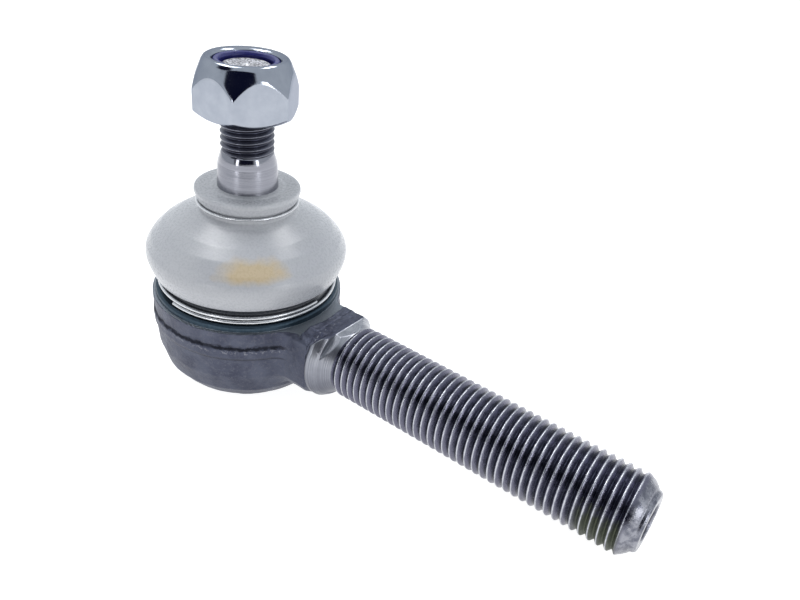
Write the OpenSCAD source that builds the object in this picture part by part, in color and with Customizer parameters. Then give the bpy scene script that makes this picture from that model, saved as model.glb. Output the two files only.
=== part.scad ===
// Tie rod end: a ball joint in a forged housing with a male threaded shank.
// Origin at the ball centre. +Z runs up the stud, +X runs out along the shank.
// All dimensions in millimetres.

/* [Shank] */
// Major diameter of the shank thread (M14)
shank_d = 14; // [12:0.5:15]
// Pitch of the shank thread
shank_pitch = 1.5; // [1.25:0.25:2]
// First crest of the shank thread, from the stud axis
shank_start = 31.2; // [31.2:0.1:34]
// Where the shank ends, from the stud axis
shank_end = 88; // [70:1:100]
// Diameter of the turned collar between arm and thread
collar_d = 17.8; // [16.5:0.1:18.4]

/* [Housing] */
// Outside diameter of the housing body
housing_d = 38; // [37:0.5:40]
// Height of the machined top band, above the ball centre
band_top = 6; // [5.5:0.1:6.3]
// Depth of the housing below the ball centre
housing_depth = 14.6; // [14.4:0.1:16]

/* [Stud] */
// Diameter of the ball
ball_d = 19; // [18:0.5:19]
// Major diameter of the stud thread (M10)
stud_d = 10; // [9:0.5:10]
// Pitch of the stud thread
stud_pitch = 1.25; // [1:0.25:1.5]
// Small end diameter of the taper
taper_d = 11; // [10.6:0.1:11.2]
// Height of the stud's end above the ball centre
stud_top = 49.4; // [46:0.2:50]

/* [Lock nut] */
// Width across the nut's flats (M10)
nut_af = 17; // [16:0.5:18]
// Height of the nut's bearing face as fitted
nut_z = 40.6; // [40.2:0.1:41]

/* [Dust boot] */
// Largest diameter of the boot
boot_d = 39.1; // [38:0.1:40]
// Diameter of the boot's top flange
flange_d = 19.9; // [19:0.1:20.5]

/* [Hidden] */
$fn = 96;

fit = 0.05;             // running clearance of the ball in its seats, on the radius
thread_depth = 0.58;    // depth of a thread groove over its pitch
crest_w = 0.16;         // flat width of a thread crest over its pitch
root_w = 0.1;           // flat width of a thread root over its pitch
crest_over = 0.08;      // how far a groove's cutter reaches past the crests

// housing
bore_r = 11.5;          // bore that holds the two seats
bore_top = 5.4;         // shoulder that the upper seat rests against
mouth_r = 10.2;         // radius of the opening at the top face
top_z = 9.4;            // top face of the boot neck
band_r = 18.3;          // turned band under the boot
ledge_z = 4.95;         // turned ledge at the band's foot
ledge_r = 21.7;         // how far out the ledge cuts into the arm
neck_r = 15.6;          // floor of the boot groove
lip_r = 16;             // small rim that keeps the boot on
lip_z = 8.8;            // underside of that rim
cover_r = 12.4;         // counterbore for the cover plate
cover_z = -12.2;        // shoulder that the cover plate rests against
cover_t = 1.2;          // thickness of the cover plate
crimp_r = 11;           // inner edge of the rolled crimp
arm_start = 12;         // where the arm begins, inside the housing wall
arm_top = 6.45;         // height of the forged face on top of the arm
collar_start = 24.2;    // left edge of the turned collar
collar_end = 29.2;      // end of the relief behind the thread
flat_x = 26.4;          // where the spanner flats on the collar begin
flat_r = 6.3;           // distance of the level pair of flats from the shank axis
side_flat_r = 6.6;      // distance of the second pair
side_flat_angle = 45;   // angle of the second pair from the top
relief_r = 6.7;         // turned relief between collar and thread
end_chamfer = 2.4;      // length of the shank's end cone
end_rim_r = 5;          // radius where the cone meets the end face
centre_r = 3.9;         // mouth radius of the centre hole
centre_bore_r = 2.2;    // radius of the centre hole's pilot
centre_depth = 9;       // depth of the pilot

// stud
ball_r = ball_d / 2;
stud_neck_r = 4.9;
taper_slope = 0.05;     // radius gained for each millimetre down the 1:10 taper
taper_top = 31.2;
taper_bottom = 16.6;
taper_r0 = taper_d / 2;
taper_r1 = taper_r0 + taper_slope * (taper_top - taper_bottom);
line_z = 28.5;          // turned line that parts the two bands of the taper
stud_thread_start = 32.9;

// nut
nut_h = 10.3;
nut_bore_r = stud_d / 2 + 0.08;
nut_r = nut_af / sqrt(3);
nut_turn = -57;         // angle of one corner about the stud
insert_r = 5.9;
insert_z = nut_z + 7.3; // floor of the insert's pocket

// boot
boot_r = boot_d / 2;
flange_r = flange_d / 2;
wall = 1.4;
boot_bottom = 6.75;
boot_bore_r = 6;
ring_wire_r = 0.45;
ring_r = 17.44;
ring_z = [8.0, 7.05];
clip_wire_r = 0.4;
clip_r = 9.7;
clip_z = 23.45;

// turned V grooves of a thread, one for each pitch, cut a little past the crests
module thread_grooves(major_r, pitch, from, to) {
    depth = thread_depth * pitch;
    half = pitch * (1 - crest_w) / 2;
    root = root_w * pitch / 2;
    over = crest_over * (half - root) / depth;
    turns = floor((to - from) / pitch);
    for (i = [0 : turns - 1])
        translate([0, 0, from + (i + 0.5) * pitch])
            rotate_extrude()
                polygon([[major_r + crest_over, -half - over], [major_r - depth, -root],
                         [major_r - depth, root], [major_r + crest_over, half + over]]);
}

// lathe-turned solid about Z from [radius, height] points
module turned(points) {
    rotate_extrude() polygon(points);
}

// the same about X, with the second number as the distance along X
module turned_x(points) {
    rotate([0, 90, 0]) turned(points);
}

module housing_body() {
    r = housing_d / 2;
    turned([
        [0, -housing_depth], [7, -housing_depth], [10.5, -housing_depth + 0.2],
        [14, -housing_depth + 1], [16.5, -11.8], [18.2, -8.5], [r - 0.1, -5], [r, 0],
        [r, band_top], [neck_r + 0.6, band_top],
        [neck_r, band_top + 0.5], [neck_r, lip_z], [lip_r, lip_z], [lip_r, top_z - 0.2],
        [lip_r - 0.2, top_z], [0, top_z]
    ]);
}

// forged arm: a bar with a flat top and broad chamfers, seen along X
module arm_section() {
    polygon([
        [-4.6, arm_top], [4.6, arm_top], [7.5, 4.2], [8, 0], [7.9, -5.2], [6.4, -7.4],
        [-6.4, -7.4], [-7.9, -5.2], [-8, 0], [-7.5, 4.2]
    ]);
}

module arm() {
    translate([arm_start, 0, 0])
        rotate([90, 0, 90])
            linear_extrude(collar_start - arm_start + 0.15) arm_section();
    // gusset that widens the arm into the housing wall
    translate([0, 0, -6.2])
        linear_extrude(11)
            polygon([[10, -14.5], [15, -11.5], [21.5, -7.4], [21.5, 7.4], [15, 11.5], [10, 14.5]]);
}

module shank() {
    c = collar_d / 2;
    r = shank_d / 2;
    difference() {
        turned_x([
            [0, collar_start], [c - 0.3, collar_start], [c, collar_start + 0.4], [c, 26.2],
            [c - 0.5, 27.2], [r + 0.3, 28.4], [relief_r, collar_end], [relief_r, shank_start - 0.5],
            [r, shank_start - 0.3], [r, shank_end - end_chamfer], [end_rim_r, shank_end],
            [centre_r, shank_end], [centre_bore_r, shank_end - 2.6],
            [centre_bore_r, shank_end - centre_depth], [0, shank_end - centre_depth - 1.3]
        ]);
        rotate([0, 90, 0])
            thread_grooves(r, shank_pitch, shank_start, shank_end - end_chamfer);
        // spanner flats on the collar: one pair level, one pair turned towards the side
        for (side = [0, 180]) {
            rotate([side, 0, 0]) collar_flat(flat_x, flat_r);
            rotate([side + side_flat_angle, 0, 0]) collar_flat(flat_x, side_flat_r);
        }
        // the arm's forged top runs on over the collar's first millimetres
        collar_flat(collar_start - 1, arm_top);
    }
}

// cut for a flat on the collar, from a start along the shank and at a distance from its axis
module collar_flat(start, distance) {
    translate([start, -10, distance]) cube([shank_start - 0.45 - start, 20, 6]);
}

// the forging is one piece: cup, arm, collar and threaded shank
module housing() {
    color("#5a6273")
        difference() {
            union() {
                housing_body();
                arm();
                shank();
            }
            // seat bore, cover counterbore and the opening under the rolled crimp
            translate([0, 0, cover_z]) cylinder(h = bore_top - cover_z, r = bore_r);
            translate([0, 0, cover_z - cover_t - 0.02]) cylinder(h = cover_t + 0.02, r = cover_r + 0.02);
            translate([0, 0, -housing_depth - 1]) cylinder(h = housing_depth, r = crimp_r);
            // turned ledge round the band, cut into the arm's top as well
            turned([[band_r, ledge_z], [ledge_r, ledge_z], [ledge_r, top_z], [band_r, top_z]]);
            // mouth that lets the stud swing
            turned([[0, bore_top - 1], [8.2, bore_top - 1], [8.2, bore_top], [mouth_r, top_z],
                    [mouth_r + 1, top_z + 1], [0, top_z + 1]]);
        }
}

module ball_stud() {
    r = stud_d / 2;
    color("#8d929e")
        difference() {
            union() {
                sphere(r = ball_r);
                turned([
                    [0, 0], [stud_neck_r, 0], [stud_neck_r, 13.8], [stud_neck_r + 0.4, 15.2],
                    [taper_r1, taper_bottom], [taper_r0 + taper_slope * (taper_top - line_z), line_z],
                    [taper_r0 + 0.08, line_z + 0.12], [taper_r0, taper_top - 0.2],
                    [taper_r0 - 0.15, taper_top], [r - 0.6, taper_top + 1.1],
                    [r - 0.6, stud_thread_start - 0.6], [r, stud_thread_start],
                    [r, stud_top - 1], [r - 1, stud_top], [0, stud_top]
                ]);
            }
            thread_grooves(r, stud_pitch, stud_thread_start, stud_top - 0.8);
            // flat on the underside of the ball, left by turning
            translate([0, 0, -ball_r - 1]) cylinder(h = 1.6, r = 4);
        }
}

module lock_nut() {
    c = nut_r;
    color("#b9c3cf")
        translate([0, 0, nut_z])
            difference() {
                intersection() {
                    rotate([0, 0, nut_turn]) cylinder(h = nut_h, r = nut_r, $fn = 6);
                    // chamfered bearing face, and the rounded collar above the flats
                    turned([
                        [0, 0], [7.9, 0], [c + 0.5, 1.5], [c + 0.5, 4.6], [9.2, 6.3], [8.7, 7.6],
                        [8.2, 8.8], [7.7, 9.6], [7.1, 10.1], [6.6, nut_h], [0, nut_h]
                    ]);
                }
                translate([0, 0, -1]) cylinder(h = nut_h, r = nut_bore_r);
                translate([0, 0, insert_z - nut_z]) cylinder(h = nut_h, r = insert_r);
            }
}

module nylon_ring() {
    color("#20306a")
        turned([
            [nut_bore_r, insert_z], [insert_r, insert_z], [insert_r, nut_z + nut_h - 0.5],
            [insert_r - 0.3, nut_z + nut_h - 0.3], [nut_bore_r + 0.3, nut_z + nut_h - 0.3],
            [nut_bore_r, nut_z + nut_h - 0.5]
        ]);
}

module dust_boot() {
    b = boot_r;
    f = flange_r;
    color("#b4b7ba")
        turned([
            // outside, from the bottom lip up to the flange
            [17, boot_bottom], [17, 9.1], [17.3, 9.9], [18.3, 11.2], [b - 0.25, 12.6], [b, 13.9],
            [b - 0.25, 15.1], [18.4, 16.6], [16.6, 18.5], [14.2, 20.2], [11.6, 21.6], [9.7, 22.4],
            [9.25, 22.9], [9.25, 24], [f - 0.3, 24], [f, 24.5], [f, 26.1], [f - 0.3, 26.7],
            [7.4, 26.9], [7.2, 27.3], [6.5, 27.3], [boot_bore_r, 27],
            // inside, back down to the lip
            [boot_bore_r, 22], [7.4, 21.4], [9.6, 20.8], [13.4, 18.9], [15.6, 17.4],
            [17.1, 15.8], [b - wall - 0.1, 14.6], [b - wall, 13.7], [b - wall - 0.3, 12.9],
            [17, 12], [16.4, 10.6], [16.2, 9.7], [16.2, 8.72], [15.75, 8.72], [15.75, boot_bottom]
        ]);
}

// closed wire ring about Z
module wire_ring(ring, wire, z) {
    translate([0, 0, z]) rotate_extrude() translate([ring, 0]) circle(r = wire);
}

module boot_top_ring() {
    color("#9aa0a6") wire_ring(clip_r, clip_wire_r, clip_z);
}

// the garter spring's two turns lie one on the other
module boot_bottom_ring() {
    color("#c3c8ce") for (z = ring_z) wire_ring(ring_r + 0.02, ring_wire_r, z);
}

module upper_ball_seat() {
    inner = ball_r + fit;
    z0 = 0.2;
    z1 = bore_top - 0.1;
    color("#d9d5c4")
        difference() {
            translate([0, 0, z0]) cylinder(h = z1 - z0, r = bore_r - 0.03);
            sphere(r = inner);
        }
}

module lower_ball_seat() {
    inner = ball_r + fit;
    color("#d9d5c4")
        difference() {
            translate([0, 0, -10.6]) cylinder(h = 10.6, r = bore_r - 0.03);
            sphere(r = inner);
            translate([0, 0, -12]) cylinder(h = 4, r = 3);
        }
}

module preload_spring() {
    // cone-shaped disc spring between the lower seat and the cover
    color("#6d7178")
        turned([[4, -11.7], [10.8, -12.1], [10.8, -11.4], [10.5, -11.3], [4, -10.9], [3.8, -11.2]]);
}

module cover_plate() {
    color("#7f858e")
        translate([0, 0, cover_z - cover_t]) cylinder(h = cover_t - 0.02, r = cover_r);
}

// grease that has gathered in the boot, against its front wall
module grease() {
    color("#b39a6a")
        rotate([0, 0, -72])
            rotate_extrude(angle = 44)
                polygon([[14.6, 12.2], [16.1, 12.2], [16.9, 13.2], [16.9, 14.6], [15.9, 15.6], [14.6, 15.2]]);
}

housing();
ball_stud();
lock_nut();
nylon_ring();
dust_boot();
boot_top_ring();
boot_bottom_ring();
upper_ball_seat();
lower_ball_seat();
preload_spring();
cover_plate();
grease();
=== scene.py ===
"""Tie rod end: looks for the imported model.

Lengths are in millimetres and become metres when a mesh is made, except where a comment says metres."""
import bpy
import math
import numpy as np
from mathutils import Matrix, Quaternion, Vector


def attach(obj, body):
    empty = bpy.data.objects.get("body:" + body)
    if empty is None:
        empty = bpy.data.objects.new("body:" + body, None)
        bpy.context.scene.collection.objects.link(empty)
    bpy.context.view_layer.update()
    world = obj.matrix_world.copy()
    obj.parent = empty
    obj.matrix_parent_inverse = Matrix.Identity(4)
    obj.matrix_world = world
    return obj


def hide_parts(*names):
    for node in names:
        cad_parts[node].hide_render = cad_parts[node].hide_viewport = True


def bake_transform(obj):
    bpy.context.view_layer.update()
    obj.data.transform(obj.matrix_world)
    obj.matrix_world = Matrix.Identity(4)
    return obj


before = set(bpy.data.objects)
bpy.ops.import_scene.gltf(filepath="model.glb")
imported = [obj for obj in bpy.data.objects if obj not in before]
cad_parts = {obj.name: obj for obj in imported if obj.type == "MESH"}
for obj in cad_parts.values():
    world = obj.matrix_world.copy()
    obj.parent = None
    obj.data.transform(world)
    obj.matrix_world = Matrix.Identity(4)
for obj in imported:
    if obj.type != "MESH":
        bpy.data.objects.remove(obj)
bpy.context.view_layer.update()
MM = 0.001
TAU = 2 * math.pi
TINY = 1e-6
SHARP_ANGLE = math.radians(48)  # an edge bent by more than this stays sharp
FILLET_STEPS = 4  # straight pieces in a rounded corner
ALMOST_STRAIGHT = 3.1  # radians; a corner as open as this isn't rounded


# ---------------------------------------------------------------- meshes

def make_object(name, verts, faces, body, materials, replaced):
    """A mesh object from millimetre vertices that rides on a body and stands for CAD nodes."""
    mesh = bpy.data.meshes.new(name)
    mesh.from_pydata((np.asarray(verts, float) * MM).tolist(), [], [list(f) for f in faces])
    mesh.validate()
    for m in materials:
        mesh.materials.append(m)
    mesh.shade_smooth()
    mesh.set_sharp_from_angle(angle=SHARP_ANGLE)
    obj = bpy.data.objects.new(name, mesh)
    bpy.context.scene.collection.objects.link(obj)
    if body:
        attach(obj, body)
    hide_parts(*replaced)
    return obj


def rounded(points):
    """A profile with its corners rounded. A point is (r, z) or (r, z, fillet radius)."""
    out = []
    count = len(points)
    for i, p in enumerate(points):
        if len(p) < 3 or i in (0, count - 1):
            out.append(p[:2])
            continue
        here = np.array(p[:2], float)
        back = np.array(points[i - 1][:2], float) - here
        ahead = np.array(points[i + 1][:2], float) - here
        lb, la = np.linalg.norm(back), np.linalg.norm(ahead)
        back, ahead = back / lb, ahead / la
        angle = math.acos(float(np.clip(back @ ahead, -1, 1)))
        if angle > ALMOST_STRAIGHT:
            out.append(tuple(here))
            continue
        reach = min(p[2] / math.tan(angle / 2), 0.49 * lb, 0.49 * la)
        radius = reach * math.tan(angle / 2)
        bisector = (back + ahead) / np.linalg.norm(back + ahead)
        centre = here + bisector * radius / math.sin(angle / 2)
        first, last = here + back * reach - centre, here + ahead * reach - centre
        for k in range(FILLET_STEPS + 1):
            v = first * (1 - k / FILLET_STEPS) + last * (k / FILLET_STEPS)
            out.append(tuple(centre + v / np.linalg.norm(v) * radius))
    return out


def skin(rows, closed=False, reverse=False):
    """Faces between neighbouring rings of vertex numbers. A ring can be one vertex, repeated."""
    faces = []
    pairs = list(zip(rows[:-1], rows[1:])) + ([(rows[-1], rows[0])] if closed else [])
    for low, high in pairs:
        for i in range(len(low)):
            j = (i + 1) % len(low)
            quad = [low[i], low[j], high[j], high[i]]
            if reverse:
                quad = quad[:1] + quad[:0:-1]
            face = [v for k, v in enumerate(quad) if v != quad[k - 1]]
            if len(face) > 2:
                faces.append(face)
    return faces


def revolve(points, segments, closed=False):
    """Vertices and faces of a profile of (r, z) turned about Z. A point with r of 0 becomes a pole."""
    verts, rows = [], []
    for r, z in points:
        if r < TINY:
            rows.append([len(verts)] * segments)
            verts.append((0.0, 0.0, z))
        else:
            rows.append(list(range(len(verts), len(verts) + segments)))
            for i in range(segments):
                a = TAU * i / segments
                verts.append((r * math.cos(a), r * math.sin(a), z))
    return verts, skin(rows, closed)


# One pitch of a rolled thread, from crest to crest, as (phase, share of the depth).
HALF_THREAD = [(0, 0), (0.045, 0.01), (0.085, 0.07), (0.13, 0.18), (0.25, 0.5), (0.34, 0.75), (0.41, 0.92),
               (0.46, 0.99)]
THREAD = HALF_THREAD + [(0.5, 1.0)] + [(1 - u, share) for u, share in HALF_THREAD[:0:-1]]


def helix_body(before, after, major, depth, pitch, start, turns, segments, lead_in, limit):
    """A turned body about Z with a true right-hand thread between two plain ends.

    before and after are profiles of (r, z) that lead up to the thread and away from it. major is the crest's
    radius. The thread deepens from nothing to full over lead_in, and never stands outside limit, the radius
    as a function of z."""
    verts, faces = revolve(before, segments)
    per_pitch = len(THREAD)
    total = per_pitch * turns
    first_row = len(verts)
    for i in range(segments):
        a = TAU * i / segments
        for k in range(total + 1):
            phase, share = THREAD[k % per_pitch]
            z = start + (k // per_pitch + phase + i / segments) * pitch
            strength = min(max((z - lead_in[0]) / (lead_in[1] - lead_in[0]), 0), 1)
            r = min(major - depth * (1 - (1 - share) * strength), limit(z))
            verts.append((r * math.cos(a), r * math.sin(a), z))

    def at(i, k):
        return first_row + i * (total + 1) + k

    for i in range(segments - 1):
        for k in range(total):
            faces.append([at(i, k), at(i + 1, k), at(i + 1, k + 1), at(i, k + 1)])
    last = segments - 1
    for k in range(total - per_pitch):
        faces.append([at(last, k), at(0, k + per_pitch), at(0, k + per_pitch + 1), at(last, k + 1)])
    low = first_row - segments
    high = len(verts)
    more_verts, more_faces = revolve(after, segments)
    verts += more_verts
    faces += [[v + high for v in f] for f in more_faces]
    for i in range(segments - 1):
        faces.append([low + i, low + i + 1, at(i + 1, 0), at(i, 0)])
        faces.append([at(i, total), at(i + 1, total), high + i + 1, high + i])
    faces.append([low + last, low] + [at(0, k) for k in range(per_pitch + 1)] + [at(last, 0)])
    seam = [at(last, k) for k in range(total - per_pitch, total + 1)]
    faces.append([at(0, total)] + seam + [high + last, high])
    return verts, faces


def about_x(verts):
    """Turns vertices made about Z so that they lie about X."""
    v = np.asarray(verts, float)
    return np.stack([v[:, 2], v[:, 0], v[:, 1]], -1)


# ---------------------------------------------------------------- solids from distance fields

def polygon_field(px, py, points):
    """Signed distance to a closed polygon, negative inside."""
    best = np.full(px.shape, 1e9)
    inside = np.zeros(px.shape, bool)
    for (ax, ay), (bx, by) in zip(points, points[1:] + points[:1]):
        ex, ey = bx - ax, by - ay
        wx, wy = px - ax, py - ay
        t = np.clip((wx * ex + wy * ey) / (ex * ex + ey * ey), 0, 1)
        best = np.minimum(best, (wx - ex * t) ** 2 + (wy - ey * t) ** 2)
        side = ex * wy - ey * wx
        inside ^= ((ay <= py) & (by > py) & (side > 0)) | ((by <= py) & (ay > py) & (side < 0))
    best = np.sqrt(best)
    return np.where(inside, -best, best)


def smooth_min(a, b, k):
    h = np.clip(0.5 + 0.5 * (b - a) / k, 0, 1)
    return b * (1 - h) + a * h - k * h * (1 - h)


def smooth_max(a, b, k):
    return -smooth_min(-a, -b, k)


def solid(field, low, high, step):
    """Vertices and quads of the surface where field is 0, by surface nets on a grid, drawn onto the field."""
    block = 8
    low = np.array(low, float)
    blocks = np.ceil((np.array(high) - low) / (step * block)).astype(int)
    n = blocks * block + 1
    grid = np.stack(np.meshgrid(*[np.arange(b) for b in blocks], indexing="ij"), -1).reshape(-1, 3)
    centres = low + (grid + 0.5) * block * step
    middle = field(*centres.T)
    values = np.repeat(np.repeat(np.repeat(
        middle.reshape(blocks), block, 0), block, 1), block, 2).astype(np.float32)
    values = np.pad(values, ((0, 1), (0, 1), (0, 1)), mode="edge")
    near = grid[np.abs(middle) < 1.15 * block * step]
    cell = np.stack(np.meshgrid(*[np.arange(block + 1)] * 3, indexing="ij"), -1).reshape(-1, 3)
    for chunk in np.array_split(near, max(1, len(near) // 400)):
        at = (chunk[:, None, :] * block + cell[None]).reshape(-1, 3)
        values[at[:, 0], at[:, 1], at[:, 2]] = field(*(low + at * step).T)
    inside = values < 0
    quads, places = [], []
    for a in range(3):
        b, c = (a + 1) % 3, (a + 2) % 3
        lower = [slice(None)] * 3
        upper = [slice(None)] * 3
        lower[a], upper[a] = slice(0, -1), slice(1, None)
        at = np.argwhere(inside[tuple(lower)] != inside[tuple(upper)])
        keep = (at[:, b] > 0) & (at[:, c] > 0) & (at[:, b] < n[b] - 1) & (at[:, c] < n[c] - 1)
        at = at[keep]
        nxt = at.copy()
        nxt[:, a] += 1
        v0, v1 = values[tuple(at.T)].astype(float), values[tuple(nxt.T)].astype(float)
        place = at.astype(float)
        place[:, a] += v0 / (v0 - v1)
        ring = []
        for db, dc in ((1, 1), (0, 1), (0, 0), (1, 0)):
            q = at.copy()
            q[:, b] -= db
            q[:, c] -= dc
            ring.append((q[:, 0] * n[1] + q[:, 1]) * n[2] + q[:, 2])
        quad = np.stack(ring, -1)
        quads.append(np.where((v0 < 0)[:, None], quad, quad[:, ::-1]))
        places.append(place)
    quads, places = np.concatenate(quads), np.concatenate(places)
    ids, where = np.unique(quads, return_inverse=True)
    where = where.reshape(quads.shape)
    count = np.bincount(where.ravel(), minlength=len(ids))
    points = np.stack([np.bincount(where.ravel(), np.repeat(places[:, a], 4), len(ids)) / count
                       for a in range(3)], -1)
    points = low + points * step
    small = 0.02
    for _ in range(3):
        here = field(*points.T)
        slope = []
        for a in range(3):
            moved = points.copy()
            moved[:, a] += small
            slope.append((field(*moved.T) - here) / small)
        slope = np.stack(slope, -1)
        move = here[:, None] * slope / np.maximum((slope ** 2).sum(1), 0.3)[:, None]
        points -= np.clip(move, -0.4 * step, 0.4 * step)
    return points, where


HASH_X, HASH_Y, HASH_Z, HASH_SEED = 374761393, 668265263, 2147483647, 1274126177
HASH_BITS = 65535


def noise(x, y, z, size, seed):
    """Smooth value noise in -1..1 with features of about one size."""
    p = np.stack([x, y, z], -1) / size
    base = np.floor(p).astype(np.int64)
    f = p - base
    f = f * f * (3 - 2 * f)
    total = np.zeros(len(x))
    for dx in (0, 1):
        for dy in (0, 1):
            for dz in (0, 1):
                h = (base[:, 0] + dx) * HASH_X + (base[:, 1] + dy) * HASH_Y
                h = h + (base[:, 2] + dz) * HASH_Z + seed * HASH_SEED
                h = (h ^ (h >> 13)) * HASH_SEED
                value = ((h ^ (h >> 16)) & HASH_BITS) / (HASH_BITS / 2) - 1
                wx = f[:, 0] if dx else 1 - f[:, 0]
                wy = f[:, 1] if dy else 1 - f[:, 1]
                wz = f[:, 2] if dz else 1 - f[:, 2]
                total += value * wx * wy * wz
    return total


# ---------------------------------------------------------------- materials

class Nodes:
    """A short way to write the nodes of a material or of the world."""

    def __init__(self, tree):
        self.tree = tree

    def add(self, kind):
        return self.tree.nodes.new("ShaderNode" + kind)

    def give(self, socket, value):
        if isinstance(value, bpy.types.NodeSocket):
            self.tree.links.new(value, socket)
        elif isinstance(value, (tuple, list)) and len(value) == 3 and socket.type == "RGBA":
            socket.default_value = (*value, 1)
        else:
            socket.default_value = value

    def position(self, scale=(1, 1, 1)):
        """The point in millimetres, scaled."""
        coord = self.add("TexCoord").outputs["Object"]
        mapping = self.add("Mapping")
        self.give(mapping.inputs["Vector"], coord)
        mapping.inputs["Scale"].default_value = [s / MM for s in scale]
        return mapping.outputs["Vector"]

    def split(self, vector):
        node = self.add("SeparateXYZ")
        self.give(node.inputs[0], vector)
        return node.outputs

    def math(self, operation, a, b=0.0):
        node = self.add("Math")
        node.operation = operation
        self.give(node.inputs[0], a)
        self.give(node.inputs[1], b)
        return node.outputs[0]

    def plus(self, a, b):
        return self.math("ADD", a, b)

    def minus(self, a, b):
        return self.math("SUBTRACT", a, b)

    def times(self, a, b):
        return self.math("MULTIPLY", a, b)

    def length(self, a, b):
        return self.math("SQRT", self.plus(self.times(a, a), self.times(b, b)))

    def noise(self, vector, scale, detail=3.0, rough=0.55):
        node = self.add("TexNoise")
        self.give(node.inputs["Vector"], vector)
        node.inputs["Scale"].default_value = scale
        node.inputs["Detail"].default_value = detail
        node.inputs["Roughness"].default_value = rough
        return node.outputs["Fac"]

    def ramp(self, value, *stops):
        """Colours along a value, from stops of (place, grey or colour)."""
        node = self.add("ValToRGB")
        self.give(node.inputs[0], value)
        elements = node.color_ramp.elements
        while len(elements) < len(stops):
            elements.new(0.5)
        for element, (place, color) in zip(elements, stops):
            element.position = place
            c = color if isinstance(color, (tuple, list)) else (color,) * 3
            element.color = (*c, 1)
        return node.outputs[0]

    def mix(self, factor, a, b):
        """Colour a, turning into b as the factor goes to 1."""
        node = self.add("Mix")
        node.data_type = "RGBA"
        self.give(node.inputs[0], factor)
        self.give(node.inputs[6], a)
        self.give(node.inputs[7], b)
        return node.outputs[2]

    def range(self, value, low, high, to_low=0.0, to_high=1.0):
        """A value taken from low..high, which can run downward, to to_low..to_high, and held at the ends."""
        node = self.add("MapRange")
        self.give(node.inputs[0], value)
        for i, v in enumerate((low, high, to_low, to_high)):
            self.give(node.inputs[i + 1], v)
        return node.outputs[0]

    def bump(self, height, distance, strength=1.0, normal=None):
        node = self.add("Bump")
        node.inputs["Strength"].default_value = strength
        node.inputs["Distance"].default_value = distance * MM
        self.give(node.inputs["Height"], height)
        if normal is not None:
            self.give(node.inputs["Normal"], normal)
        return node.outputs["Normal"]


class Finish(Nodes):
    """A new material with its principled shader."""

    def __init__(self, name):
        self.material = bpy.data.materials.new(name)
        self.material.use_nodes = True
        super().__init__(self.material.node_tree)
        self.shader = self.tree.nodes["Principled BSDF"]

    def finish(self, color, rough, normal=None, **fixed):
        self.give(self.shader.inputs["Base Color"], color)
        self.give(self.shader.inputs["Roughness"], rough)
        if normal is not None:
            self.give(self.shader.inputs["Normal"], normal)
        for key, value in fixed.items():
            self.give(self.shader.inputs[key.replace("_", " ")], value)
        return self.material


PARTING_LINE_Z = 1.5
STEP_LINE_Z = -1.0
LEDGE_RADIUS = 21.7  # how far out the cup's top is turned


def forged_steel():
    """Forging scale, with its parting lines, and the band and ledge that are turned into its top; the ledge
    is lightened partly as painted highlight, and the band's wall is darkened as painted shade.
    """
    n = Finish("forged_steel")
    p = n.position()
    x, y, z = n.split(p)
    radius = n.length(x, y)
    broad = n.noise(p, 0.22, 3)
    fine = n.noise(p, 1.6, 5, 0.65)
    grit = n.noise(p, 6.0, 3, 0.7)
    color = n.mix(n.ramp(broad, (0.35, 0.0), (0.65, 1.0)), (0.050, 0.055, 0.085), (0.085, 0.094, 0.132))
    color = n.mix(n.range(fine, 0.5, 0.75, 0, 0.6), color, (0.16, 0.165, 0.20))
    color = n.mix(n.range(grit, 0.62, 0.75, 0, 0.35), color, (0.02, 0.021, 0.03))
    on_cup = n.range(radius, 20.5, 19.5)
    jag = n.times(n.minus(n.noise(p, 0.9, 4, 0.7), 0.5), 1.6)
    off_line = n.math("ABSOLUTE", n.minus(n.plus(z, jag), PARTING_LINE_Z))
    line = n.times(n.range(off_line, 0.42, 0.12), on_cup)
    color = n.mix(n.times(line, 0.85), color, (0.012, 0.013, 0.02))
    under = n.times(n.range(n.math("ABSOLUTE", n.plus(z, -0.75)), 0.5, 0.1), on_cup)
    flecks = n.times(under, n.range(fine, 0.5, 0.65))
    color = n.mix(n.times(flecks, 0.7), color, (0.28, 0.29, 0.33))
    step = n.times(n.range(n.math("ABSOLUTE", n.minus(z, STEP_LINE_Z)), 0.35, 0.05), on_cup)
    color = n.mix(n.times(step, 0.6), color, (0.02, 0.022, 0.033))
    rings = n.noise(n.position((3.0, 3.0, 0.2)), 1.0, 2)
    # Painted highlight: the upward-facing ledge is made lighter, partly for its turned finish, partly for the
    # light falling on it from above.
    ledge = n.times(n.range(z, 4.86, 4.92), n.range(radius, LEDGE_RADIUS + 0.1, LEDGE_RADIUS))
    color = n.mix(ledge, color, n.mix(rings, (0.15, 0.17, 0.20), (0.32, 0.35, 0.39)))
    # Painted shade: the band's upright wall is made dark teal where it lies in shade.
    wall = n.times(n.range(radius, 18.5, 18.4), n.range(z, 4.99, 5.04))
    color = n.mix(wall, color, n.mix(rings, (0.02, 0.035, 0.05), (0.05, 0.08, 0.11)))
    rough = n.minus(n.range(fine, 0.3, 0.7, 0.38, 0.58), n.times(ledge, 0.08))
    scaly = n.minus(1.0, ledge)
    normal = n.bump(n.times(grit, scaly), 0.06, 0.5)
    normal = n.bump(n.times(fine, scaly), 0.16, 0.7, normal)
    return n.finish(color, rough, normal, Metallic=0.8)


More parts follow.
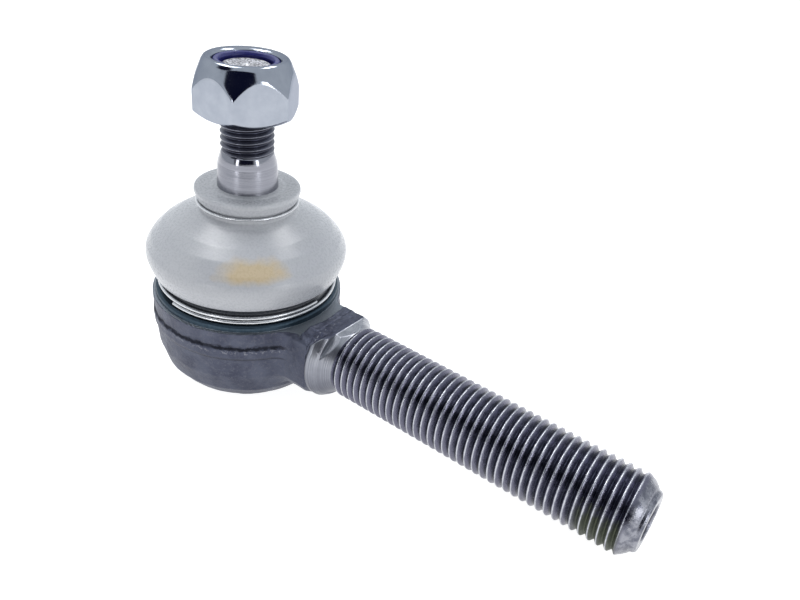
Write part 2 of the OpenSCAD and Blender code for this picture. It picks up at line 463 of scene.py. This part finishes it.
def turned_steel(name, light, dark, axis, tool=9.0, rough=0.3):
    """Turned metal: fine rings about an axis, with streaks along them; turned about X it also darkens toward
    its underside as painted shade.
    """
    n = Finish(name)
    p = n.position()
    x, y, z = n.split(p)
    along = {"x": x, "z": z}[axis]
    a, b = {"x": (y, z), "z": (x, y)}[axis]
    radius = n.length(a, b)
    join = n.add("CombineXYZ")
    n.give(join.inputs[0], n.times(along, tool))
    n.give(join.inputs[1], n.times(radius, tool))
    n.give(join.inputs[2], n.times(a, 0.12))
    rings = n.noise(join.outputs[0], 1.0, 3, 0.6)
    patch = n.noise(p, 0.5, 3)
    color = n.mix(n.range(rings, 0.3, 0.7), dark, light)
    color = n.mix(n.range(patch, 0.45, 0.75, 0, 0.45), color, dark)
    # Painted shade: about X the colour darkens toward the underside.
    if axis == "x":
        color = n.mix(n.range(z, 4.0, -4.0, 0, 0.75), color, (0.085, 0.09, 0.12))
    roughness = n.range(rings, 0.3, 0.7, rough + 0.1, rough - 0.06)
    return n.finish(color, roughness, n.bump(rings, 0.02, 0.7), Metallic=1.0)


def shank_steel():
    """Rolled thread with painted shade in its roots and crests lightened partly by wear, partly as painted
    highlight, a plain nose with painted shade in its hole, and a stain near the end.
    """
    n = Finish("shank_thread_steel")
    p = n.position()
    x, y, z = n.split(p)
    radius = n.length(y, z)
    height = n.range(radius, 6.36, 7.0)
    patch = n.noise(p, 0.8, 4, 0.6)
    fine = n.noise(p, 5.0, 3, 0.6)
    # Painted shade darkens the roots and painted highlight lightens the crests, which are also partly worn
    # bright.
    crest = n.plus(height, n.times(n.minus(patch, 0.5), 0.3))
    color = n.ramp(crest, (0.0, (0.02, 0.022, 0.034)), (0.2, (0.105, 0.105, 0.148)),
                   (0.88, (0.15, 0.15, 0.198)), (1.0, (0.46, 0.47, 0.51)))
    nose = n.mix(n.range(patch, 0.4, 0.6), (0.12, 0.125, 0.155), (0.27, 0.275, 0.31))
    # Painted shade: the centre hole in the end is made near black.
    nose = n.mix(n.range(radius, 3.4, 3.0), nose, (0.02, 0.02, 0.03))
    color = n.mix(n.range(x, 85.4, 85.9), color, nose)
    lower = n.range(n.plus(z, n.times(n.minus(patch, 0.5), 6)), 3.2, 0.8)
    far = n.range(n.plus(x, n.times(n.minus(fine, 0.5), 3)), 77.0, 79.5)
    on_thread = n.times(n.range(x, 85.7, 85.2), n.range(height, 1.0, 0.9, 0, 0.85))
    stain = n.times(n.times(lower, far), on_thread)
    color = n.mix(stain, color, (0.085, 0.095, 0.065))
    rough = n.plus(n.range(patch, 0.35, 0.65, 0.18, 0.32), n.times(stain, 0.35))
    return n.finish(color, rough, n.bump(fine, 0.05, 0.6), Metallic=1.0)


def stud_steel():
    """Ground taper, polished shoulder, dark thread with painted shade in its grooves, and the grained end
    face.
    """
    n = Finish("stud_steel")
    p = n.position()
    x, y, z = n.split(p)
    radius = n.length(x, y)
    join = n.add("CombineXYZ")
    n.give(join.inputs[0], n.times(z, 7.0))
    n.give(join.inputs[1], n.times(x, 0.15))
    rings = n.noise(join.outputs[0], 1.0, 3)
    end = n.noise(p, 2.6, 4, 0.7)
    color = n.mix(n.range(rings, 0.3, 0.7), (0.20, 0.205, 0.235), (0.28, 0.285, 0.32))
    # Painted shade: the thread's flanks and roots are darkened, leaving its crests bright.
    painted_groove_shade = n.times(n.range(radius, 4.9, 4.5), n.range(z, 33.6, 33.9))
    color = n.mix(painted_groove_shade, color, (0.035, 0.037, 0.055))
    threaded = n.times(n.range(z, 33.6, 33.9), 0.55)
    color = n.mix(threaded, color, (0.08, 0.083, 0.11))
    top = n.range(z, 48.2, 48.6)
    color = n.mix(top, color, n.ramp(end, (0.42, (0.10, 0.10, 0.11)), (0.56, (0.75, 0.75, 0.78))))
    polished = n.times(n.range(z, 31.5, 31.6), n.range(z, 33.7, 33.5))
    rough = n.minus(n.range(rings, 0.3, 0.7, 0.28, 0.22), n.times(polished, 0.14))
    rough = n.plus(rough, n.times(top, 0.15))
    normal = n.bump(rings, 0.015, 0.5)
    normal = n.bump(n.times(end, top), 0.25, 0.8, normal)
    return n.finish(color, rough, normal, Metallic=1.0)


def zinc():
    """Bright plate on the nut."""
    n = Finish("zinc_plate")
    p = n.position()
    broad = n.noise(p, 0.35, 3)
    pits = n.noise(p, 4.0, 3, 0.6)
    color = n.mix(n.range(broad, 0.35, 0.65), (0.30, 0.325, 0.375), (0.34, 0.365, 0.415))
    color = n.mix(n.range(pits, 0.68, 0.78, 0, 0.5), color, (0.25, 0.28, 0.35))
    return n.finish(color, n.range(broad, 0.3, 0.7, 0.09, 0.14), n.bump(pits, 0.015, 0.3), Metallic=1.0,
                    Specular_Tint=(0.55, 0.57, 0.62))


def nylon():
    """Deep blue plastic."""
    n = Finish("nylon")
    p = n.position()
    fine = n.noise(p, 3.0, 3)
    color = n.mix(fine, (0.008, 0.010, 0.10), (0.016, 0.018, 0.17))
    return n.finish(color, n.range(fine, 0.3, 0.7, 0.25, 0.45), n.bump(fine, 0.04, 0.4))


GREASE_ANGLE = math.radians(-40.5)
GREASE_HALF_ANGLE = math.radians(20)
GREASE_Z = 17.35
GREASE_HALF_HEIGHT = 1.75


def boot_rubber():
    """Milky rubber, darkened toward the bottom and dark in the groove that holds the wire, both as painted
    shade.
    """
    n = Finish("boot_rubber")
    p = n.position()
    x, y, z = n.split(p)
    broad = n.noise(p, 0.09, 3)
    fine = n.noise(p, 2.2, 3)
    color = n.mix(n.range(broad, 0.35, 0.65), (0.37, 0.38, 0.405), (0.41, 0.42, 0.44))
    # Painted shade: the boot darkens toward its bottom.
    color = n.mix(n.range(z, 14.5, 9.5, 0, 0.35), color, (0.30, 0.31, 0.34))
    # Painted shade: the groove that holds the wire is made near black.
    groove = n.range(z, 9.5, 9.2)
    color = n.mix(groove, color, (0.05, 0.055, 0.065))
    # The grease that shows through the wall: a soft rounded patch about an angle and a height.
    wobble = n.noise(p, 0.35, 2)
    along = n.math("ABSOLUTE", n.plus(n.math("ARCTAN2", y, x), -GREASE_ANGLE))
    upward = n.math("ABSOLUTE", n.minus(z, GREASE_Z))
    across = n.math("POWER", n.math("DIVIDE", along, GREASE_HALF_ANGLE), 3.0)
    tall = n.math("POWER", n.math("DIVIDE", upward, GREASE_HALF_HEIGHT), 3.0)
    d = n.math("POWER", n.plus(across, tall), 0.333)
    d = n.plus(d, n.times(n.minus(wobble, 0.5), 0.8))
    patch = n.range(d, 1.15, 0.55)
    color = n.mix(n.times(patch, 0.68), color, (0.50, 0.37, 0.17))
    return n.finish(color, n.range(fine, 0.3, 0.7, 0.24, 0.32), n.bump(fine, 0.02, 0.25))


def wire():
    """Drawn spring wire."""
    n = Finish("drawn_wire")
    p = n.position((0.8, 0.8, 2.5))
    streak = n.noise(p, 1.0, 2)
    color = n.mix(streak, (0.42, 0.43, 0.45), (0.75, 0.76, 0.78))
    return n.finish(color, n.range(streak, 0.3, 0.7, 0.2, 0.3), n.bump(streak, 0.01, 0.2), Metallic=1.0)


def plain_finish(name, light, dark, rough, metallic):
    """A finish for the inner pieces: two tones in soft patches with a fine grain."""
    n = Finish(name)
    p = n.position()
    patch = n.noise(p, 1.5, 4)
    grain = n.noise(p, 9.0, 2)
    color = n.mix(n.range(patch, 0.3, 0.7), dark, light)
    return n.finish(color, n.range(grain, 0.3, 0.7, rough - 0.06, rough + 0.08),
                    n.bump(grain, 0.02, 0.4), Metallic=metallic)


FORGED = forged_steel()
COLLAR = turned_steel("turned_collar", (0.42, 0.43, 0.47), (0.20, 0.21, 0.24), "x", 9.0, 0.32)
SHANK = shank_steel()
STUD = stud_steel()
ZINC = zinc()
NYLON = nylon()
BOOT = boot_rubber()
WIRE = wire()


# ---------------------------------------------------------------- housing: cup and arm

CUP = [(0, -14.4), (8.6, -14.4), (12.0, -13.75), (14.9, -12.3), (17.1, -9.6), (18.3, -5.6), (18.7, -1.4),
       (19.0, -0.7), (19.05, 1.2), (18.75, 1.8), (18.9, 4.95), (18.9, 9.4), (0, 9.4)]
TURNED_AWAY = [(21.7, 4.95), (18.3, 4.95), (18.3, 5.8), (18.05, 6.1), (16.1, 6.1), (15.6, 6.6), (15.6, 8.8),
               (16.0, 8.8), (16.0, 9.2), (15.8, 9.4), (0, 9.4), (0, 14), (21.7, 14)]
INSIDE = [(0, 10), (10.2, 10), (10.2, 9.4), (8.2, 5.4), (11.5, 5.4), (11.5, -12.2), (12.42, -12.2),
          (12.42, -13.42), (11.0, -13.42), (11.0, -16), (0, -16)]
ARM = [(-4.6, 6.45), (5.2, 6.45), (7.6, 4.3), (8.0, 0), (7.9, -5.2), (6.4, -7.3),
       (-6.4, -7.3), (-7.9, -5.2), (-8.0, 0), (-7.5, 4.3)]
COLLAR_TURN = [(0, 23.9), (8.8, 23.9), (9.15, 24.4), (9.15, 25.0), (8.5, 26.0), (7.5, 27.0), (6.8, 28.0),
               (6.4, 28.6), (6.2, 29.2), (6.2, 31.2), (0, 31.2)]
COLLAR_FLATS = ((0, 6.38), (38, 6.9))  # (lean in degrees, distance from the axis), on both sides
FLATS_END = 26.4  # x where the spanner flats stop
ARM_RADIUS = 9.05
COLLAR_START = 24.2
TOP_CUT = 9.4  # z of the cup's rim
ARM_TOP = 6.45
CUT_BACK = 23.9  # x of the collar's shoulder
PART_AT = 23.3  # x where the mesh of the forging ends and the mesh of the collar starts


def turned_collar(x, y, z):
    """The collar as it leaves the lathe."""
    return polygon_field(np.hypot(y, z), x, COLLAR_TURN)


def housing_solid(x, y, z):
    """The one forged and turned piece, without its thread."""
    r = np.hypot(x, y)
    cup = polygon_field(r, z, CUP)
    jag = noise(x, y, z, 0.9, 11) * 0.35
    line = np.exp(-((z - 1.55 - jag) / 0.28) ** 2) * 0.22 + np.exp(-((z + 0.95) / 0.3) ** 2) * 0.08
    cup = cup + line * np.clip((21.5 - r) / 2, 0, 1)
    arm = polygon_field(y, z, ARM)
    arm = np.maximum(arm, np.hypot(y, z) - ARM_RADIUS - np.clip(COLLAR_START - x, 0, 20) * 0.35)
    ragged = noise(x, y, z, 0.8, 5) * 0.22 * np.exp(-((z - 5.3) / 1.1) ** 2)
    arm = smooth_max(arm + ragged, np.maximum(8 - x, x - FLATS_END), 0.1)
    turned = turned_collar(x, y, z)
    arm = np.where(x > COLLAR_START, np.maximum(arm, turned), arm)
    body = smooth_min(cup, arm, 1.9)
    body = body + noise(x, y, z, 1.0, 3) * 0.04 + noise(x, y, z, 3.5, 7) * 0.07
    body = np.maximum(body, z - TOP_CUT)
    body = smooth_max(body, -polygon_field(r, z, TURNED_AWAY), 0.1)
    cut_back = CUT_BACK + np.maximum(z - 4.8, 0) - x
    blank = np.maximum(z - ARM_TOP, 0.667 * y + 0.745 * z - 8.3)
    body = np.minimum(body, np.maximum(turned, np.maximum(blank, cut_back * 0.7)))
    for turn in (0, 180):
        for lean, distance in COLLAR_FLATS:
            a = math.radians(turn + lean)
            flat = -y * math.sin(a) + z * math.cos(a) - distance
            body = smooth_max(body, np.minimum(flat, x - FLATS_END), 0.06)
    return np.maximum(body, -polygon_field(r, z, INSIDE))


def cup_and_arm(x, y, z):
    """The piece up to PART_AT."""
    return np.maximum(housing_solid(x, y, z), x - PART_AT)


def collar(x, y, z):
    """The rest of the piece, up to where the thread starts."""
    return np.maximum(housing_solid(x, y, z), PART_AT - x)


verts, faces = solid(cup_and_arm, (-20, -20, -15.4), (24.2, 20, 10.2), 0.24)
make_object("housing_forging", verts, faces, "housing", [FORGED], ["housing"])

verts, faces = solid(collar, (22.4, -9.8, -9.8), (31.8, 9.8, 9.8), 0.13)
piece = make_object("housing_collar", verts, faces, "housing", [FORGED, COLLAR], ["housing"])
x, y, z = verts[np.asarray(faces)].mean(1).T
on_turned = np.abs(turned_collar(x, y, z)) < 0.06
below_top_flat = z < COLLAR_FLATS[0][1] - 0.02
tooled = on_turned & below_top_flat | (x > FLATS_END - 0.02)
piece.data.polygons.foreach_set("material_index", tooled.astype(np.int32))

# ---------------------------------------------------------------- housing: threaded shank

before = [(0, 27.0), (6.0, 27.0), (6.3, 27.3)]
after = rounded([(6.3, 86.25), (5.65, 86.95, 0.5), (5.3, 87.2, 0.5), (5.2, 87.6, 0.3), (4.9, 88.0, 0.3),
                 (3.4, 88.0, 0.25), (2.5, 86.9, 0.2), (2.2, 86.5, 0.2), (2.2, 79.0), (0, 77.8)])
verts, faces = helix_body(
    before, after, major=7.0, depth=0.66, pitch=1.5, start=27.64, turns=38, segments=160,
    lead_in=(28.2, 29.6), limit=lambda v: 7.0 - max(0, v - 85.3) * 0.72)
make_object("housing_shank", about_x(verts), faces, "housing", [SHANK], ["housing"])

# ---------------------------------------------------------------- ball stud

BALL_RADIUS = 9.5
ball_angles = np.radians(np.linspace(20, 149, 34))
ball = [(BALL_RADIUS * math.sin(a), -BALL_RADIUS * math.cos(a)) for a in ball_angles]
taper = rounded([(4.9, 9.0), (4.9, 13.8), (5.4, 15.4, 1.0), (6.23, 16.6, 0.4), (5.55, 31.45), (5.5, 31.6),
                 (5.52, 31.7), (4.92, 33.45, 0.1), (4.65, 33.75, 0.1), (4.2, 33.9), (0, 34.0)])
verts, faces = revolve([(0, ball[0][1]), *ball, (4.9, 9.3), *taper[1:]], 128)
make_object("stud_shaft", verts, faces, "stud", [STUD], ["ball_stud"])
before = [(0, 31.2), (3.9, 31.2), (4.1, 31.4)]
after = rounded([(4.35, 49.1), (4.15, 49.35, 0.1), (3.9, 49.4, 0.1), (0.9, 49.3, 0.2), (0.5, 49.0, 0.1),
                 (0, 48.9)])
verts, faces = helix_body(
    before, after, major=4.97, depth=0.62, pitch=1.25, start=31.55, turns=13, segments=128,
    lead_in=(33.0, 33.9), limit=lambda v: 4.97 - max(0, v - 48.6))
make_object("stud_thread", verts, faces, "stud", [STUD], ["ball_stud"])

# ---------------------------------------------------------------- lock nut

NUT_TURN = math.radians(-57)
NUT_HALF_WIDTH = 8.5
NUT_PROFILE = [(5.1, 41.3), (5.75, 40.6), (8.3, 40.6), (10.3, 41.9), (10.3, 44.2), (9.83, 45.25),
               (9.1, 46.95), (8.58, 48.2), (8.1, 49.35), (7.8, 50.05), (7.45, 50.55), (7.1, 50.75),
               (6.6, 50.72), (6.2, 50.55), (5.9, 50.3), (5.9, 47.9), (5.1, 47.9)]


def nut(x, y, z):
    """The turned shape with six flats cut from it."""
    r = np.hypot(x, y)
    body = polygon_field(r, z, NUT_PROFILE)
    for k in range(6):
        a = NUT_TURN + TAU * (k + 0.5) / 6
        body = smooth_max(body, x * math.cos(a) + y * math.sin(a) - NUT_HALF_WIDTH, 0.22)
    return body


verts, faces = solid(nut, (-10.6, -10.6, 40.0), (10.6, 10.6, 51.6), 0.15)
make_object("nut_shell", verts, faces, "nut", [ZINC], ["lock_nut"])

NYLON_PROFILE = [(5.88, 47.95), (5.88, 50.0, 0.2), (5.6, 50.3, 0.2), (5.0, 50.25, 0.3), (4.7, 49.7, 0.2),
                 (4.95, 49.0, 0.2), (5.06, 47.95)]
verts, faces = revolve(rounded(NYLON_PROFILE), 128, closed=True)
make_object("nut_nylon_ring", verts, faces, "nut_carrier", [NYLON], ["nylon_ring"])

# ---------------------------------------------------------------- dust boot

# The wall is in two halves that meet at the widest place, each as an outside and an inside line.
SEAM = 13.9
BOOT_SEGMENTS = 144
LOWER_OUT = [(17.0, 6.2), (17.0, 8.15, 0.2), (16.6, 8.5, 0.2), (16.6, 9.2, 0.2), (17.9, 9.35, 0.2),
             (18.25, 9.6, 0.3), (18.7, 10.5, 0.8), (19.2, 11.9, 1.5), (19.5, 13.0, 1.0), (19.55, 13.5),
             (19.55, SEAM)]
LOWER_IN = [(18.15, SEAM), (18.15, 13.4), (17.9, 12.3, 1.0), (17.3, 10.9, 0.6), (16.1, 10.2, 0.3),
            (16.1, 8.72), (15.75, 8.72), (15.75, 6.2)]
UPPER_OUT = [(19.55, SEAM), (19.55, 14.2), (19.3, 15.1, 1.5), (18.3, 16.7, 2.0), (16.5, 18.5, 3.0),
             (14.0, 20.1, 3.0), (11.4, 21.25, 2.0), (9.9, 21.95, 0.8), (9.15, 22.7, 0.4), (9.15, 24.3, 0.1),
             (9.35, 24.35, 0.1), (9.6, 24.6, 0.3), (10.1, 26.0, 0.6), (9.95, 26.65, 0.35),
             (9.2, 26.75, 0.5), (7.2, 26.62, 0.5), (6.7, 26.75, 0.3), (5.75, 26.8)]
UPPER_IN = [(5.98, 22), (7.4, 21.0, 0.6), (9.6, 20.3, 1.0), (13.4, 18.6, 2.0), (15.6, 17.2, 2.0),
            (17.1, 15.7, 1.0), (18.1, 14.7, 0.5), (18.15, 14.2), (18.15, SEAM)]


def dense(points, step):
    """A profile with points added so that none are further apart than step."""
    out = [points[0]]
    for a, b in zip(points[:-1], points[1:]):
        count = max(1, math.ceil(math.dist(a[:2], b[:2]) / step))
        for k in range(1, count + 1):
            out.append((a[0] + (b[0] - a[0]) * k / count, a[1] + (b[1] - a[1]) * k / count))
    return out


lower = dense(rounded(LOWER_OUT), 0.4) + dense(rounded(LOWER_IN), 0.6)
verts, faces = revolve(lower, BOOT_SEGMENTS, closed=True)
boot_low = make_object("boot_lower", verts, faces, None, [BOOT], ["dust_boot"])
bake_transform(boot_low)
upper = dense(rounded(UPPER_OUT), 0.4) + dense(rounded(UPPER_IN), 0.6)
verts, faces = revolve(upper, BOOT_SEGMENTS, closed=True)
boot_up = make_object("boot_upper", verts, faces, None, [BOOT], ["dust_boot"])
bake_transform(boot_up)

# ---------------------------------------------------------------- rings


def swept(points, radius, sides):
    """A round wire along points, with domed ends."""
    points = np.asarray(points, float)
    tangent = np.gradient(points, axis=0)
    tangent /= np.linalg.norm(tangent, axis=1)[:, None]
    up = np.array([0, 0, 1.0])
    side = np.cross(tangent, up)
    side /= np.linalg.norm(side, axis=1)[:, None]
    over = np.cross(side, tangent)
    rows = []
    caps = ((0.0, 0.0), (0.7, 0.3), (1.0, 0.7))
    for share, back in caps:
        out = radius * (0.6 - back * 0.8)
        rows.append((points[0] - tangent[0] * out, side[0], over[0], radius * share))
    for i in range(len(points)):
        rows.append((points[i], side[i], over[i], radius))
    for share, back in caps[::-1]:
        out = radius * (0.6 - back * 0.8)
        rows.append((points[-1] + tangent[-1] * out, side[-1], over[-1], radius * share))
    verts, index = [], []
    for at, s, o, r in rows:
        if r < TINY:
            index.append([len(verts)] * sides)
            verts.append(at)
            continue
        index.append(list(range(len(verts), len(verts) + sides)))
        for k in range(sides):
            a = TAU * k / sides
            verts.append(at + (s * math.cos(a) + o * math.sin(a)) * r)
    return np.array(verts), skin(index, reverse=True)


BOTTOM_COIL, BOTTOM_WIRE = 17.42, 0.37
TOP_COIL, TOP_WIRE = 9.5, 0.28
CLIMB_FROM, CLIMB_OVER, CLIMB = 5, 70, 0.92  # degrees, degrees, height from one turn to the next

angle = np.radians(np.linspace(-96, 364, 400))
rise = np.clip((np.degrees(angle) - CLIMB_FROM) / CLIMB_OVER, 0, 1)
level = 6.65 + CLIMB * rise * rise * (3 - 2 * rise)
coil = np.stack([BOTTOM_COIL * np.cos(angle), BOTTOM_COIL * np.sin(angle), level], -1)
verts, faces = swept(coil, BOTTOM_WIRE, 14)
make_object("bottom_ring_wire", verts, faces, "housing", [WIRE], ["boot_bottom_ring"])

angle = np.radians(np.linspace(70, 421, 220))
coil = np.stack([TOP_COIL * np.cos(angle), TOP_COIL * np.sin(angle), np.full(len(angle), 23.78)], -1)
verts, faces = swept(coil, TOP_WIRE, 12)
make_object("top_ring_wire", verts, faces, "boot_top", [WIRE], ["boot_top_ring"])

# ---------------------------------------------------------------- inner pieces

ACETAL = ((0.78, 0.74, 0.62), (0.70, 0.66, 0.54), 0.35, 0.0)
FINISHES = {
    "upper_ball_seat": plain_finish("seat_acetal_upper", *ACETAL),
    "lower_ball_seat": plain_finish("seat_acetal_lower", *ACETAL),
    "preload_spring": plain_finish("spring_steel", (0.14, 0.14, 0.16), (0.08, 0.08, 0.09), 0.4, 1.0),
    "cover_plate": turned_steel("cover_sheet", (0.30, 0.31, 0.34), (0.16, 0.17, 0.19), "z", 4.0, 0.38),
    "grease": plain_finish("grease_ochre", (0.55, 0.42, 0.22), (0.45, 0.33, 0.16), 0.25, 0.0),
}
for name, finish in FINISHES.items():
    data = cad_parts[name].data
    data.materials.clear()
    data.materials.append(finish)

# ---------------------------------------------------------------- floor, light and camera

# The part lies on its cup and on the shank's end, so the floor leans under it.
LEAN = math.radians(5.6)
REST_POINT = Vector((86, 0, -7.15)) * MM


def white_floor():
    n = Finish("floor_white")
    p = n.position()
    grain = n.noise(p, 0.05, 2)
    color = n.mix(grain, (0.44, 0.44, 0.44), (0.46, 0.46, 0.46))
    return n.finish(color, 0.9, None, Emission_Color=(1, 1, 1), Emission_Strength=0.92)


FLOOR_WIDTH = 4  # metres
bpy.ops.mesh.primitive_plane_add(size=FLOOR_WIDTH)
floor = bpy.context.object
floor.name = "floor"
floor.rotation_euler = (0, -LEAN, 0)
floor.location = REST_POINT
floor.data.materials.append(white_floor())

# The world is a pale cloth tent with two dark openings, which the bright metal reflects.
world = bpy.data.worlds.new("studio")
bpy.context.scene.world = world
world.use_nodes = True
sky = Nodes(world.node_tree)
direction = sky.add("TexCoord").outputs["Generated"]


def dark_spot(toward, edge, core):
    """1 within a cone about a direction, 0 outside it."""
    facing = sky.add("VectorMath")
    facing.operation = "DOT_PRODUCT"
    sky.give(facing.inputs[0], direction)
    facing.inputs[1].default_value = Vector(toward).normalized()
    return sky.range(facing.outputs["Value"], edge, core)


front_opening = dark_spot((0.518, -0.830, 0.208), 0.755, 0.80)
upper_opening = dark_spot((-0.278, -0.689, 0.669), 0.945, 0.975)
opening = sky.math("MAXIMUM", front_opening, upper_opening)
CLOTH, DARK_ROOM = (0.90, 0.95, 1.0), (0.008, 0.010, 0.035)
CLOTH_LIGHT = 0.92
background = world.node_tree.nodes["Background"]
sky.give(background.inputs[0], sky.mix(opening, CLOTH, DARK_ROOM))
background.inputs[1].default_value = CLOTH_LIGHT


def area_light(name, at, aim, size, power):
    """A rectangular light at one place, turned toward another. Places and sizes are in metres."""
    data = bpy.data.lights.new(name, "AREA")
    data.shape = "RECTANGLE"
    data.size, data.size_y = size
    data.energy = power
    light = bpy.data.objects.new(name, data)
    light.location = Vector(at)
    light.rotation_euler = (Vector(aim) - Vector(at)).to_track_quat("-Z", "Y").to_euler()
    bpy.context.scene.collection.objects.link(light)
    return light


area_light("overhead", (-0.22, -0.09, 0.75), (0.03, 0, 0), (0.34, 0.20), 0.9)
# Two level boxes and two upright strips stand to the left and right of the camera.
for name, at in (("left_box", (-0.274, -0.045, 0.5)), ("right_box", (0.026, 0.277, 0.5))):
    box = area_light(name, at, (0, 0, 0), (0.30, 0.12), 0.8)
    box.rotation_euler = (0, 0, math.radians(-43))
for name, at in (("left_strip", (0.05, -0.47, 0.10)), ("right_strip", (0.47, -0.03, 0.10))):
    area_light(name, at, (0.02, 0, 0.03), (0.08, 0.17), 0.25)

CAMERA_AT = Vector((97.0, -90.25, 84.2)) * MM
CAMERA_AIM = Vector((23.5, 21.4, 1.9)) * MM
CAMERA_ROLL = math.radians(6.69)
FOCAL_LENGTH, SENSOR_WIDTH = 32.96, 36
NEAREST_SEEN = 5 * MM
camera_data = bpy.data.cameras.new("camera")
camera_data.lens = FOCAL_LENGTH
camera_data.sensor_width = SENSOR_WIDTH
camera_data.clip_start = NEAREST_SEEN
camera = bpy.data.objects.new("camera", camera_data)
bpy.context.scene.collection.objects.link(camera)
camera.location = CAMERA_AT
camera.rotation_mode = "QUATERNION"
aim = (CAMERA_AIM - CAMERA_AT).to_track_quat("-Z", "Y")
camera.rotation_quaternion = aim @ Quaternion((0, 0, 1), CAMERA_ROLL)
bpy.context.scene.camera = camera
bpy.context.scene.view_settings.view_transform = "Standard"
